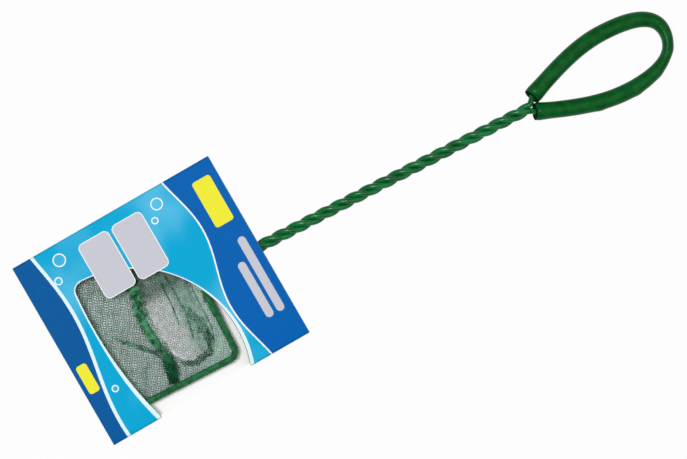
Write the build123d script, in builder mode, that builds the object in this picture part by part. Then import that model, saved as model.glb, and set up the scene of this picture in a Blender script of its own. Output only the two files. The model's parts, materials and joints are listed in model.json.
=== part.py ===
from build123d import *
import math
import os

# Small aquarium fish net with a twisted wire handle, lying in an open-topped card sleeve.
# Sizes are in millimetres. X runs along the handle from the hoop to the grip loop and Z is up.
# The origin lies on the sleeve's underside, straight below the handle's axis.

# Coated wire: one length makes the hoop, the handle's three strands and the core of the grip loop
WIRE_D = 2.5
WIRE_FLATS = 6
STRAND_GAP = 0.2
SHANK_LENGTH = 164.25
QUARTER_TURNS = 30
SHANK_START_X = 22.5
RETURN_SKIPPED_QUARTERS = 1
BASE_ANGLE_RIGHT = 210
BASE_ANGLE_LEFT = 90
BASE_ANGLE_RETURN = 330

# Hoop, measured to the middle of the wire
HOOP_WIDTH = 78.5
HOOP_DEPTH = 60.0
HOOP_NEAR_R = 4.0
HOOP_FAR_R = 10.0
HOOP_DROP = 3.0
LEG_Y = 7.0

# Sewn hem round the hoop wire
HEM_WALL = 0.2
HEM_PLAY = 0.05
HEM_START = 0.5

# Netting: a back layer over the whole hoop and the folded pouch that lies on it
NET_T = 0.35
SOFT_GAP = 0.3
NET_BAR = 0.9
NET_GAP_DIAGONAL = 6.2
NET_MARGIN = 1.6
POUCH_SIDE_ROOM = 6.25
POUCH_NEAR_ROOM = 4.0
POUCH_DEPTH = 27.0
POUCH_R = 12.0

# Grip loop: a plastic tube over the wire, placed from the end of the twist
TUBE_WALL = 1.8
TUBE_FLATS = 10
TUBE_PLAY = 0.3
TUBE_END_GAP = 0.4
ARM_ANGLE = 21.6
NECK_LENGTH = 4.6
LOWER_NECK_LENGTH = 2.6
NECK_MIDDLE_Y = 0.85
UPPER_SHOULDER_X = 45.0
UPPER_SHOULDER_Y = 15.3
LOOP_END_X = 70.0
LOOP_END_Y = 3.0
LOWER_SHOULDER_X = 43.0
LOWER_SHOULDER_Y = -13.4

# Card sleeve, a little askew to the handle and with room round the hoop
CARD_T = 0.45
FOLD_R = 1.2
SLEEVE_CLEARANCE = 0.3
SLEEVE_TURN = 2.86
SLEEVE_Y = -1.4
SIDE_ROOM = 4.6
FOOT_ROOM = 8.25
MOUTH_ROOM = 31.2

# Window in the sleeve's front: a round head and a bowed foot that meet in a rounded left corner,
# open through the sleeve's right edge, with two round-ended tabs that reach in from the left
WINDOW_R = 52.7
WINDOW_TOP_MARGIN = 27.4
WINDOW_CENTRE_IN = 18.3
WINDOW_FOOT_MARGIN = 18.2
WINDOW_FOOT_R = 182.0
WINDOW_FOOT_IN = 48.8
WINDOW_CORNER_R = 4.0
TAB_COUNT = 2
TAB_WIDTH = 15.6
TAB_GAP = 1.6
TAB_R = 2.6
TAB_END_MARGIN = 33.8
TAB_FOOT_MARGIN = 30.0

# Sizes that follow
LAY = 4 * SHANK_LENGTH / QUARTER_TURNS
TWIST_R = (WIRE_D + STRAND_GAP) / math.sqrt(3)
ENVELOPE_R = TWIST_R + WIRE_D / 2
AXIS_Z = CARD_T + SLEEVE_CLEARANCE + ENVELOPE_R
NECK_X = SHANK_START_X + SHANK_LENGTH
HOOP_NEAR_X = SHANK_START_X - HOOP_DROP
HOOP_FAR_X = HOOP_NEAR_X - HOOP_DEPTH
HEM_BORE = WIRE_D + 2 * HEM_PLAY
HEM_D = HEM_BORE + 2 * HEM_WALL
BACK_NET_X = (HOOP_NEAR_X + HOOP_FAR_X) / 2
BACK_NET_Z = AXIS_Z - HEM_D / 2 - SOFT_GAP - NET_T
POUCH_WIDTH = HOOP_WIDTH - 2 * POUCH_SIDE_ROOM
POUCH_X = HOOP_NEAR_X - POUCH_NEAR_ROOM - POUCH_DEPTH / 2
POUCH_Z = BACK_NET_Z + NET_T + SOFT_GAP
TUBE_BORE = WIRE_D + 2 * TUBE_PLAY
TUBE_D = TUBE_BORE + 2 * TUBE_WALL
TUBE_END_Y = TUBE_D / 2 + TUBE_END_GAP
SLEEVE_HEIGHT = 2 * AXIS_Z
SLEEVE_WIDTH = HOOP_WIDTH + HEM_D + 2 * SIDE_ROOM + 2 * CARD_T
SLEEVE_MOUTH_X = HOOP_NEAR_X + MOUTH_ROOM
SLEEVE_FOOT_X = HOOP_FAR_X - HEM_D / 2 - FOOT_ROOM - CARD_T
SLEEVE_LENGTH = SLEEVE_MOUTH_X - SLEEVE_FOOT_X
SLEEVE_X = (SLEEVE_MOUTH_X + SLEEVE_FOOT_X) / 2

STRAIGHT = 1e-6


# Wire routes
def station(x, y, heading):
    """A point of a flat run, with its direction as an angle from +X towards +Y."""
    angle = math.radians(heading)
    return Vector(x, y, AXIS_Z), Vector(math.cos(angle), math.sin(angle), 0)


def twist_station(quarter, base_angle):
    """A point of a handle strand and its direction, counted in quarter turns from the hoop."""
    angle = math.radians(base_angle + 90 * quarter)
    girth = 2 * math.pi * TWIST_R
    point = Vector(
        SHANK_START_X + LAY / 4 * quarter,
        TWIST_R * math.cos(angle),
        AXIS_Z + TWIST_R * math.sin(angle),
    )
    direction = Vector(LAY, -girth * math.sin(angle), girth * math.cos(angle))
    return point, direction.normalized()


def backwards(stop):
    """The same station, passed the other way."""
    point, direction = stop
    return point, direction * -1


def strand_stations(base_angle, skipped=0):
    """Every quarter turn of a handle strand from the hoop to the neck."""
    return [twist_station(quarter, base_angle) for quarter in range(skipped, QUARTER_TURNS + 1)]


def hoop_stations(leg_y):
    """The hoop's route from its right leg round to its left leg."""
    half = HOOP_WIDTH / 2
    return [
        station(HOOP_NEAR_X, -leg_y, -90),
        station(HOOP_NEAR_X, HOOP_NEAR_R - half, -90),
        station(HOOP_NEAR_X - HOOP_NEAR_R, -half, 180),
        station(HOOP_FAR_X + HOOP_FAR_R, -half, 180),
        station(HOOP_FAR_X, HOOP_FAR_R - half, 90),
        station(HOOP_FAR_X, half - HOOP_FAR_R, 90),
        station(HOOP_FAR_X + HOOP_FAR_R, half, 0),
        station(HOOP_NEAR_X - HOOP_NEAR_R, half, 0),
        station(HOOP_NEAR_X, half - HOOP_NEAR_R, -90),
        station(HOOP_NEAR_X, leg_y, -90),
    ]


def grip_stations():
    """The grip loop's route from the upper end of its tube round to the lower end."""
    return [
        station(NECK_X + NECK_LENGTH, NECK_MIDDLE_Y + TUBE_END_Y, ARM_ANGLE),
        station(NECK_X + UPPER_SHOULDER_X, UPPER_SHOULDER_Y, 0),
        station(NECK_X + LOOP_END_X, LOOP_END_Y, -90),
        station(NECK_X + LOWER_SHOULDER_X, LOWER_SHOULDER_Y, 180),
        station(NECK_X + LOWER_NECK_LENGTH, NECK_MIDDLE_Y - TUBE_END_Y, 180 - ARM_ANGLE),
    ]


def join(start, end):
    """Draws a straight run, or two arcs that share a tangent, from one station to the next."""
    p0, t0 = start
    p1, t1 = end
    chord = p1 - p0
    if chord.cross(t0).length < STRAIGHT and chord.cross(t1).length < STRAIGHT:
        Line(p0, p1)
        return
    square = 2 * (t0.dot(t1) - 1)
    slope = -2 * chord.dot(t0 + t1)
    level = chord.dot(chord)
    if abs(square) < STRAIGHT:
        reach = -level / slope
    else:
        reach = (-slope - math.sqrt(slope * slope - 4 * square * level)) / (2 * square)
    knee = (p0 + t0 * reach + p1 - t1 * reach) * 0.5
    first = TangentArc(p0, knee, tangent=t0)
    TangentArc(knee, p1, tangent=first % 1)


def route(stations):
    """One line of straight runs and arcs through the stations."""
    with BuildLine() as line:
        for start, end in zip(stations, stations[1:]):
            join(start, end)
    return line.line


right_stops = strand_stations(BASE_ANGLE_RIGHT)
left_stops = strand_stations(BASE_ANGLE_LEFT)
return_stops = strand_stations(BASE_ANGLE_RETURN, RETURN_SKIPPED_QUARTERS)

# In the order that the one length of wire runs
right_route = route(right_stops)
hoop_route = route([backwards(right_stops[0])] + hoop_stations(LEG_Y) + [left_stops[0]])
left_route = route(left_stops)
loop_route = route([left_stops[-1]] + grip_stations() + [backwards(return_stops[-1])])
return_route = route(return_stops)

hem_route = route(hoop_stations(LEG_Y + HEM_START))
tube_route = route(grip_stations())


def square_to(path):
    """The plane square to the start of a route."""
    return Plane(origin=path @ 0, z_dir=path % 0)


def wire(label, path):
    """A length of the coated wire, its round section drawn with a few flats."""
    with BuildPart() as length:
        with BuildSketch(square_to(path)):
            RegularPolygon(WIRE_D / 2, WIRE_FLATS)
        sweep(path=path, clean=False)
    length.part.label = label
    return length


# Wire lengths
shank_strand_right = wire("shank_strand_right", right_route)
shank_strand_left = wire("shank_strand_left", left_route)
shank_strand_return = wire("shank_strand_return", return_route)
hoop_wire = wire("hoop_wire", hoop_route)
loop_wire = wire("loop_wire", loop_route)

# Grip tube, its round outside drawn with more flats than the wire in it
with BuildPart() as grip_tube:
    with BuildSketch(square_to(tube_route)):
        RegularPolygon(TUBE_D / 2, TUBE_FLATS)
        RegularPolygon(TUBE_BORE / 2, WIRE_FLATS, major_radius=False, mode=Mode.SUBTRACT)
    sweep(path=tube_route, clean=False)
grip_tube.part.label = "grip_tube"

# Hem, with the same flats as the wire in it
with BuildPart() as hem_binding:
    with BuildSketch(square_to(hem_route)):
        RegularPolygon(HEM_D / 2, WIRE_FLATS, major_radius=False)
        RegularPolygon(HEM_BORE / 2, WIRE_FLATS, major_radius=False, mode=Mode.SUBTRACT)
    sweep(path=hem_route, clean=False)
hem_binding.part.label = "hem_binding"


# Netting
def gap_centres(depth, width, corner_r):
    """Middles of a net's diamond gaps, in staggered rows inside a round-cornered outline."""
    step = (NET_GAP_DIAGONAL + NET_BAR * math.sqrt(2)) / 2
    edge = NET_MARGIN + NET_GAP_DIAGONAL / 2
    rows = int((depth / 2 - edge) / step)
    columns = int((width / 2 - edge) / step)
    centres = []
    for row in range(-rows, rows + 1):
        for column in range(-columns, columns + 1):
            past_x = abs(row) * step - (depth / 2 - corner_r)
            past_y = abs(column) * step - (width / 2 - corner_r)
            in_corner = past_x > 0 and past_y > 0
            if in_corner and math.hypot(past_x, past_y) > corner_r - edge:
                continue
            if (row + column) % 2 == 0:
                centres.append((row * step, column * step))
    return centres


gap_side = NET_GAP_DIAGONAL / math.sqrt(2)

with BuildPart() as net_back:
    with BuildSketch(Plane.XY.offset(BACK_NET_Z)) as back_outline:
        with Locations((BACK_NET_X, 0)):
            Rectangle(HOOP_DEPTH, HOOP_WIDTH)
        fillet(back_outline.vertices().group_by(Axis.X)[-1], HOOP_NEAR_R)
        fillet(back_outline.vertices().group_by(Axis.X)[0], HOOP_FAR_R)
        with Locations((BACK_NET_X, 0)):
            with Locations(*gap_centres(HOOP_DEPTH, HOOP_WIDTH, HOOP_FAR_R)):
                Rectangle(gap_side, gap_side, rotation=45, mode=Mode.SUBTRACT)
    extrude(amount=NET_T)
net_back.part.label = "net_back"

with BuildPart() as net_pouch:
    with BuildSketch(Plane.XY.offset(POUCH_Z)):
        with Locations((POUCH_X, 0)):
            RectangleRounded(POUCH_DEPTH, POUCH_WIDTH, POUCH_R)
            with Locations(*gap_centres(POUCH_DEPTH, POUCH_WIDTH, POUCH_R)):
                Rectangle(gap_side, gap_side, rotation=45, mode=Mode.SUBTRACT)
    extrude(amount=NET_T)
net_pouch.part.label = "net_pouch"

# Card sleeve: X of its plane points at its open mouth
turn = math.radians(SLEEVE_TURN)
along = Vector(math.cos(turn), math.sin(turn), 0)
aside = Vector(-math.sin(turn), math.cos(turn), 0)
sleeve_plane = Plane(origin=(SLEEVE_X, SLEEVE_Y, 0), x_dir=along, z_dir=(0, 0, 1))
section_plane = Plane(origin=(SLEEVE_X, SLEEVE_Y, 0), x_dir=aside, z_dir=along)
panel_width = SLEEVE_WIDTH - 2 * FOLD_R
inner_height = SLEEVE_HEIGHT - 2 * CARD_T
front_z = SLEEVE_HEIGHT - CARD_T
right_edge_y = -SLEEVE_WIDTH / 2

# Window, and where its head and foot meet the right edge
window_x = SLEEVE_LENGTH / 2 - WINDOW_TOP_MARGIN - WINDOW_R
window_y = right_edge_y + WINDOW_CENTRE_IN
tab_end_y = SLEEVE_WIDTH / 2 - TAB_END_MARGIN
tab_pitch = TAB_WIDTH + TAB_GAP
first_tab_x = TAB_FOOT_MARGIN + TAB_WIDTH / 2 - SLEEVE_LENGTH / 2
foot_centre_x = WINDOW_FOOT_MARGIN - SLEEVE_LENGTH / 2 + WINDOW_FOOT_R
foot_centre_y = right_edge_y + WINDOW_FOOT_IN
window_top_x = window_x + math.sqrt(WINDOW_R**2 - WINDOW_CENTRE_IN**2)
window_bottom_x = foot_centre_x - math.sqrt(WINDOW_FOOT_R**2 - WINDOW_FOOT_IN**2)

with BuildPart() as sleeve_back_panel:
    with BuildSketch(sleeve_plane):
        Rectangle(SLEEVE_LENGTH, panel_width)
        with Locations(((window_top_x + window_bottom_x) / 2, right_edge_y)):
            Rectangle(window_top_x - window_bottom_x, FOLD_R, align=(Align.CENTER, Align.MIN))
    extrude(amount=CARD_T)
sleeve_back_panel.part.label = "sleeve_back_panel"

with BuildPart() as sleeve_front_panel:
    with BuildSketch(sleeve_plane.offset(front_z)):
        Rectangle(SLEEVE_LENGTH, panel_width)
    extrude(amount=CARD_T)
    with BuildSketch(sleeve_plane.offset(front_z)) as window:
        with Locations((window_x, window_y)):
            Circle(WINDOW_R)
        with Locations((foot_centre_x, foot_centre_y)):
            Circle(WINDOW_FOOT_R, mode=Mode.INTERSECT)
        fillet(window.vertices().group_by(Axis.Y)[-1], WINDOW_CORNER_R)
        for tab in range(TAB_COUNT):
            with Locations((first_tab_x + tab * tab_pitch, tab_end_y)):
                RectangleRounded(
                    TAB_WIDTH, SLEEVE_WIDTH, TAB_R, align=(Align.CENTER, Align.MIN), mode=Mode.SUBTRACT
                )
    extrude(amount=CARD_T, mode=Mode.SUBTRACT)
sleeve_front_panel.part.label = "sleeve_front_panel"


def spine(label, side, start_x, end_x):
    """A folded side of the sleeve between two places along it; side is 1 for left, -1 for right."""
    with BuildPart() as folded:
        with BuildSketch(section_plane.offset(start_x)):
            with Locations((0, SLEEVE_HEIGHT / 2)):
                RectangleRounded(SLEEVE_WIDTH, SLEEVE_HEIGHT, FOLD_R)
                RectangleRounded(
                    SLEEVE_WIDTH - 2 * CARD_T, inner_height, FOLD_R - CARD_T, mode=Mode.SUBTRACT
                )
            with Locations((side * (panel_width + SLEEVE_WIDTH) / 2, SLEEVE_HEIGHT / 2)):
                Rectangle(SLEEVE_WIDTH, SLEEVE_HEIGHT, mode=Mode.INTERSECT)
        extrude(amount=end_x - start_x)
    folded.part.label = label
    return folded


half_length = SLEEVE_LENGTH / 2
sleeve_left_spine = spine("sleeve_left_spine", 1, -half_length, half_length)
sleeve_right_spine_upper = spine("sleeve_right_spine_upper", -1, window_top_x, half_length)
sleeve_right_spine_lower = spine("sleeve_right_spine_lower", -1, -half_length, window_bottom_x)

with BuildPart() as sleeve_bottom_flap:
    with BuildSketch(section_plane.offset(-half_length)):
        with Locations((0, SLEEVE_HEIGHT / 2)):
            Rectangle(panel_width, inner_height)
    extrude(amount=CARD_T)
sleeve_bottom_flap.part.label = "sleeve_bottom_flap"


# Least air between the handle's strands, and the wire's whole length
def least_gap(first, second, samples=150):
    """The least distance between two wires, from points along them."""
    there = [second @ (i / samples) for i in range(samples + 1)]
    here = [first @ (i / samples) for i in range(samples + 1)]
    return min((a - b).length for a in here for b in there) - WIRE_D


print("left to right strand", round(least_gap(left_route, right_route), 3))
print("right to return strand", round(least_gap(right_route, return_route), 3))
print("return to left strand", round(least_gap(return_route, left_route), 3))
print("return strand to hoop", round(least_gap(return_route, hoop_route), 3))
print("right strand to grip loop", round(least_gap(right_route, loop_route), 3))
wire_routes = [right_route, hoop_route, left_route, loop_route, return_route]
print("wire length", round(sum(edge.length for path in wire_routes for edge in path.edges()), 1))

# Files, one for each piece
pieces = [
    shank_strand_right,
    shank_strand_left,
    shank_strand_return,
    hoop_wire,
    loop_wire,
    grip_tube,
    hem_binding,
    net_back,
    net_pouch,
    sleeve_back_panel,
    sleeve_front_panel,
    sleeve_left_spine,
    sleeve_right_spine_upper,
    sleeve_right_spine_lower,
    sleeve_bottom_flap,
]
os.makedirs("parts", exist_ok=True)
for piece in pieces:
    export_step(piece.part, f"parts/{piece.part.label}.step")
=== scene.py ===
import bmesh
import bpy
import json
import math
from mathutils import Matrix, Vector, noise


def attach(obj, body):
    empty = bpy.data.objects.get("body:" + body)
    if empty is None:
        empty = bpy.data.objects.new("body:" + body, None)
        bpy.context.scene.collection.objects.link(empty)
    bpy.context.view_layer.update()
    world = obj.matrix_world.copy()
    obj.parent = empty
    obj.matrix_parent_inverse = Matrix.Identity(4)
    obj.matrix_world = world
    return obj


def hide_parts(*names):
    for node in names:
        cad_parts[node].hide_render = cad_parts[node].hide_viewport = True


# Small aquarium fish net with a twisted wire handle, in an open-topped card sleeve.
# Sizes are in millimetres in the part's frame; new_piece turns them into metres.
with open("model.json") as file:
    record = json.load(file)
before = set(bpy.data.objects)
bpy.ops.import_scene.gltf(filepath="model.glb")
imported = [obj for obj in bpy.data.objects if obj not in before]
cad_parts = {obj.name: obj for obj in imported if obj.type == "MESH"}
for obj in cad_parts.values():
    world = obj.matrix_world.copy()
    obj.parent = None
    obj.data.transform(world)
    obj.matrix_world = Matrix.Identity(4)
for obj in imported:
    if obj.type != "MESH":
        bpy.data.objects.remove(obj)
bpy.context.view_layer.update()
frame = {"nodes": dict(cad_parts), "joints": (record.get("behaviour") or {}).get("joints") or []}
MM = 0.001

# The seed of the netting's sway, set so that each run gives the same threads
NOISE_SEED = 5
noise.seed_set(NOISE_SEED)

# Coated wire
WIRE_R = 1.25
STRAND_R = 1.34
TWIST_R = 1.5588
AXIS_Z = 3.5588
SHANK_START_X = 22.5
SHANK_LENGTH = 164.25
TURNS = 7.5
LAY = SHANK_LENGTH / TURNS
NECK_X = SHANK_START_X + SHANK_LENGTH
STEPS_PER_TURN = 24
BASE_ANGLE_RIGHT = 210
BASE_ANGLE_LEFT = 90
BASE_ANGLE_RETURN = 330
RETURN_SKIPPED_TURNS = 0.25
WIRE_SIDES = 20
CUT_BEVEL = 0.18
HOOP_STEPS = 14
LOOP_STEPS = 20

# Hoop and its hem
HOOP_WIDTH = 78.5
HOOP_DEPTH = 60.0
HOOP_NEAR_X = 19.5
HOOP_FAR_X = HOOP_NEAR_X - HOOP_DEPTH
HOOP_NEAR_R = 4.0
HOOP_FAR_R = 10.0
LEG_Y = 7.0
HEM_START_Y = 7.5
HEM_R = 1.5
HEM_END_WALL = 0.08
HEM_RUFFLE = 0.2
RUFFLE_SHARE = 0.8
RUFFLE_SCALE = 1.7
RUFFLE_DRAW = 0.55
PUCKER_SHARE = 0.35
PUCKER_LEAN = 1.4
HEM_GROOVE = 0.32
GROOVE_ANGLE = 75
GROOVE_SPREAD = 16
HEM_BEND_STEPS = 40
HEM_STEP = 0.35
HEM_SIDES = 24
STITCH_PITCH = 2.1
STITCH_R = 0.2
STITCH_SPAN = 1.6
STITCH_POINTS = 5
STITCH_SIDES = 6
STITCH_WANDER = 0.12
STITCH_CHANGE = 0.9

# Grip tube
TUBE_R = 3.8
TUBE_REST_Z = 0.03
TUBE_BORE_R = 1.55
TUBE_RIM_R = 0.35
TUBE_END_Y = 3.75
TUBE_SIDES = 40
TUBE_STEPS = 28
TUBE_WAVE = 0.012
TUBE_WAVE_SCALE = 0.12
NECK_LENGTH = 4.6
LOWER_NECK_LENGTH = 2.6
NECK_MIDDLE_Y = 0.85
ARM_ANGLE = 21.6
UPPER_SHOULDER_X = 45.0
UPPER_SHOULDER_Y = 15.3
LOOP_END_X = 70.0
LOOP_END_Y = 3.0
LOWER_SHOULDER_X = 43.0
LOWER_SHOULDER_Y = -13.4
BEND_SQUEEZE = 0.34
BEND_X = 252.5
BEND_Y = -4.0
BEND_REACH = 13.0
UPPER_SLIP = 2.3
LOWER_SLIP = 2.1
KINKS = [(256.4, -6.1), (246.1, -13.4), (233.7, -16.6), (215.0, -15.0)]
KINK_RISE = 0.34
KINK_REACH = 2.1
END_SLANT = 2.0
END_FLARE = 0.4
END_REACH = 9.0

# Netting
THREAD_R = 0.14
THREAD_SIDES = 4
MESH_PITCH = 1.05
MESH_JITTER = 0.2
JITTER_SCALE = 0.8
MESH_SWAY = 0.6
SWAY_SCALE = 0.2
OVER_SHARE = 0.5
SHORTEST_RUN = 3
CURVE_STEPS = 24
BACK_PITCH = 1.05
BACK_THREAD_R = 0.093
UNDER_TURN = 24
UNDER_DROP = 0.4
BACK_NET_Z = 1.75
BACK_CLEAR = 0.35
BACK_WAVE = 0.3
BACK_WAVE_SCALE = 0.09
HEM_RISE = 1.1
HEM_RISE_REACH = 2.0
LOWEST_NET_Z = 0.75
NET_EDGE_IN = 0.3
PLEAT_FADE = 0.6
PLEAT_REACH = 7
PLEAT_CREST = 1.6

# Gathered netting: how uneven it is, and the scales and layers of that noise
GATHER_STEP = 0.4
GATHER_ROOM = 0.65
END_FADE = 0.6
RAGGED = 0.3
RAGGED_SCALE = 0.7
RAGGED_LAYER = 9.0
RIPPLE = 0.6
RIPPLE_ALONG = 0.55
RIPPLE_ACROSS = 0.4
WANDER = 0.5
WANDER_SCALE = 0.3
WANDER_LAYER = 2.0
CREST = 0.3
CREST_ALONG = 1.1
CREST_ACROSS = 0.9
CREST_LAYER = 5.0

# Card sleeve, placed along the slide joint's axis
SLEEVE_LENGTH = 101.4
SLEEVE_WIDTH = 91.6
SLEEVE_HEIGHT = 7.118
SLEEVE_CENTRE = Vector((0.0, -1.4, 0.0))
CARD_T = 0.45
FOLD_R = 1.2
FRONT_BOW = 0.55
FRONT_RISE_LENGTH = 30.0
FRONT_WAVE = 0.12
FRONT_WAVE_SCALE = 0.05
MOUTH_BOW = 0.9
MOUTH_RISE_X = 10.0
WINDOW_X = -29.4
WINDOW_Y = -27.5
WINDOW_R = 52.7
FOOT_X = 149.5
FOOT_Y = 3.0
FOOT_R = 182.0
WINDOW_CORNER_R = 4.0
WINDOW_RIM = 0.7
RIM_GROWTH = 1.2
TAB_MIDDLES = (-12.9, 4.3)
TAB_HALF = 7.8
TAB_R = 2.6
TAB_END_Y = 12.0
TAB_PRINT_TOP_Y = 40.0
FOOT_ARC_STEPS = 40
HEAD_ARC_STEPS = 48
CORNER_STEPS = 10
TAB_GAP_STEPS = 4
TAB_CORNER_STEPS = 8
SHEET_STEP = 3.0
FOLD_STEPS = 6
CUT_TOLERANCE = 1e-5
WELD_DISTANCE = 0.001
CRISP_ANGLE = 40

slide_axis = Vector(frame["joints"][0]["axis"])
along = -slide_axis.normalized()
aside = Vector((-along.y, along.x, 0.0))


# Making pieces
def add_object(name, data):
    """A new object, linked into the scene."""
    item = bpy.data.objects.new(name, data)
    bpy.context.scene.collection.objects.link(item)
    return item


def new_piece(name, vertices, faces, body, materials):
    """A smooth mesh piece from points in millimetres, riding on a body."""
    mesh = bpy.data.meshes.new(name)
    mesh.from_pydata([Vector(v) * MM for v in vertices], [], faces)
    mesh.update()
    mesh.polygons.foreach_set("use_smooth", [True] * len(mesh.polygons))
    piece = add_object(name, mesh)
    for material in materials:
        mesh.materials.append(material)
    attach(piece, body)
    return piece


def directions(points):
    """Unit directions along a line of points."""
    last = len(points) - 1
    found = []
    for i in range(len(points)):
        ahead = points[min(i + 1, last)] - points[max(i - 1, 0)]
        found.append(ahead.normalized())
    return found


def cross_frames(points):
    """A pair of cross directions at each point, carried along without twisting."""
    tangents = directions(points)
    side = Vector((0, 0, 1)).cross(tangents[0])
    frames = []
    for tangent in tangents:
        side = (side - tangent * side.dot(tangent)).normalized()
        frames.append((side, tangent.cross(side)))
    return frames


def ring_faces(base, rings, sides):
    """Faces round a tube, between rings of points that are counted from base."""
    faces = []
    for i in range(rings - 1):
        here = base + i * sides
        above = here + sides
        for k in range(sides):
            beside = (k + 1) % sides
            faces.append((here + k, here + beside, above + beside, above + k))
    return faces


def sweep(points, radius, sides, vertices, faces):
    """Adds a capped tube; radius(i, angle) gives the distance from point i."""
    base = len(vertices)
    for i, (point, (side, up)) in enumerate(zip(points, cross_frames(points))):
        for k in range(sides):
            angle = math.tau * k / sides
            reach = radius(i, angle)
            vertices.append(point + (side * math.cos(angle) + up * math.sin(angle)) * reach)
    faces.extend(ring_faces(base, len(points), sides))
    faces.append(tuple(base + k for k in reversed(range(sides))))
    faces.append(tuple(base + (len(points) - 1) * sides + k for k in range(sides)))


def swept_piece(name, lines, radius, sides, material):
    """A piece of the net made of tubes along lines."""
    vertices = []
    faces = []
    for points in lines:
        sweep(points, radius, sides, vertices, faces)
    return new_piece(name, vertices, faces, "net", [material])


def station(x, y, heading):
    """A point at the wire's height and a direction in the floor's plane."""
    angle = math.radians(heading)
    return Vector((x, y, AXIS_Z)), Vector((math.cos(angle), math.sin(angle), 0))


def smooth_line(stations, steps):
    """Points on one smooth line through stations, nearly round on each bend."""
    points = []
    for (p0, t0), (p1, t1) in zip(stations, stations[1:]):
        turn = t0.angle(t1)
        handle = (p1 - p0).length / (3 * math.cos(turn / 4) ** 2)
        c0 = p0 + t0 * handle
        c1 = p1 - t1 * handle
        for i in range(steps):
            u = i / steps
            v = 1 - u
            points.append(p0 * v**3 + c0 * (3 * v * v * u) + c1 * (3 * v * u * u) + p1 * u**3)
    points.append(stations[-1][0])
    return points


# Materials
def srgb(red, green, blue):
    """A linear colour from the 0 to 255 values seen on a screen."""
    def linear(value):
        share = value / 255
        if share <= 0.04045:
            return share / 12.92
        return ((share + 0.055) / 1.055) ** 2.4
    return linear(red), linear(green), linear(blue), 1.0


class Field:
    """A number that varies over a surface, so that a print reads as a formula."""

    def __init__(self, tree, value):
        self.tree = tree
        self.value = value

    def math(self, operation, *others):
        node = self.tree.nodes.new("ShaderNodeMath")
        node.operation = operation
        for socket, item in zip(node.inputs, (self, *others)):
            value = item.value if isinstance(item, Field) else item
            if isinstance(value, (int, float)):
                socket.default_value = value
            else:
                self.tree.links.new(value, socket)
        return Field(self.tree, node.outputs[0])

    def __add__(self, other):
        return self.math("ADD", other)

    def __sub__(self, other):
        return self.math("SUBTRACT", other)

    def __mul__(self, other):
        return self.math("MULTIPLY", other)

    def distance(self, other):
        return (self * self + other * other).math("SQRT")

    def step(self, low, high):
        """0 below low, 1 above high, and smooth in between."""
        node = self.tree.nodes.new("ShaderNodeMapRange")
        node.interpolation_type = "SMOOTHSTEP"
        self.tree.links.new(self.value, node.inputs["Value"])
        node.inputs["From Min"].default_value = low
        node.inputs["From Max"].default_value = high
        return Field(self.tree, node.outputs["Result"])


def new_material(name):
    """A material, its node tree and its shader."""
    material = bpy.data.materials.new(name)
    material.use_nodes = True
    tree = material.node_tree
    return material, tree, tree.nodes["Principled BSDF"]


def grain(tree, scale, detail=3.0):
    """Noise over the piece's own coordinates."""
    place = tree.nodes.new("ShaderNodeTexCoord")
    node = tree.nodes.new("ShaderNodeTexNoise")
    node.inputs["Scale"].default_value = scale
    node.inputs["Detail"].default_value = detail
    tree.links.new(place.outputs["Object"], node.inputs["Vector"])
    return Field(tree, node.outputs["Fac"])


def mix(tree, share, first, second):
    """Colour between two colours, each a colour or a socket."""
    node = tree.nodes.new("ShaderNodeMix")
    node.data_type = "RGBA"
    tree.links.new(share.value, node.inputs["Factor"])
    colour_inputs = [s for s in node.inputs if s.type == "RGBA"]
    for socket, colour in zip(colour_inputs, (first, second)):
        if isinstance(colour, tuple):
            socket.default_value = colour
        else:
            tree.links.new(colour, socket)
    return next(s for s in node.outputs if s.type == "RGBA")


def bump(tree, shader, height, depth_mm):
    """Raises the surface by a field."""
    node = tree.nodes.new("ShaderNodeBump")
    node.inputs["Distance"].default_value = depth_mm * MM
    tree.links.new(height.value, node.inputs["Height"])
    tree.links.new(node.outputs["Normal"], shader.inputs["Normal"])


def finish_range(tree, shader, share, low, high):
    """Roughness that varies between two values."""
    tree.links.new((share * (high - low) + low).value, shader.inputs["Roughness"])


# Noise on the surfaces: its scales, ranges and depths
COAT_MOTTLE_SCALE = 260.0
COAT_MOTTLE_RANGE = (0.35, 0.65)
COAT_ROUGH_SCALE = 700.0
COAT_PEEL_SCALE = 900.0
COAT_PEEL_DEPTH = 0.03
THREAD_MOTTLE_SCALE = 420.0
THREAD_MOTTLE_RANGE = (0.38, 0.62)
THREAD_ROUGH_SCALE = 1500.0
ROUGH_SPREAD = 0.1
THREAD_FIBRE_SCALE = 3500.0
THREAD_FIBRE_DEPTH = 0.05
CARD_FIBRE_SCALE = 1300.0
CARD_FIBRE_DETAIL = 6.0
CARD_FIBRE_DEPTH = 0.03
CARD_ROUGH = (0.55, 0.75)


def coat_material(name, dark, light, rough, gloss):
    """Plastic with faint mottling and an uneven skin; rough is a range."""
    material, tree, shader = new_material(name)
    mottle = grain(tree, COAT_MOTTLE_SCALE).step(*COAT_MOTTLE_RANGE)
    colour = mix(tree, mottle, dark, light)
    tree.links.new(colour, shader.inputs["Base Color"])
    finish_range(tree, shader, grain(tree, COAT_ROUGH_SCALE), *rough)
    bump(tree, shader, grain(tree, COAT_PEEL_SCALE), COAT_PEEL_DEPTH)
    shader.inputs["Specular IOR Level"].default_value = gloss
    return material


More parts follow.
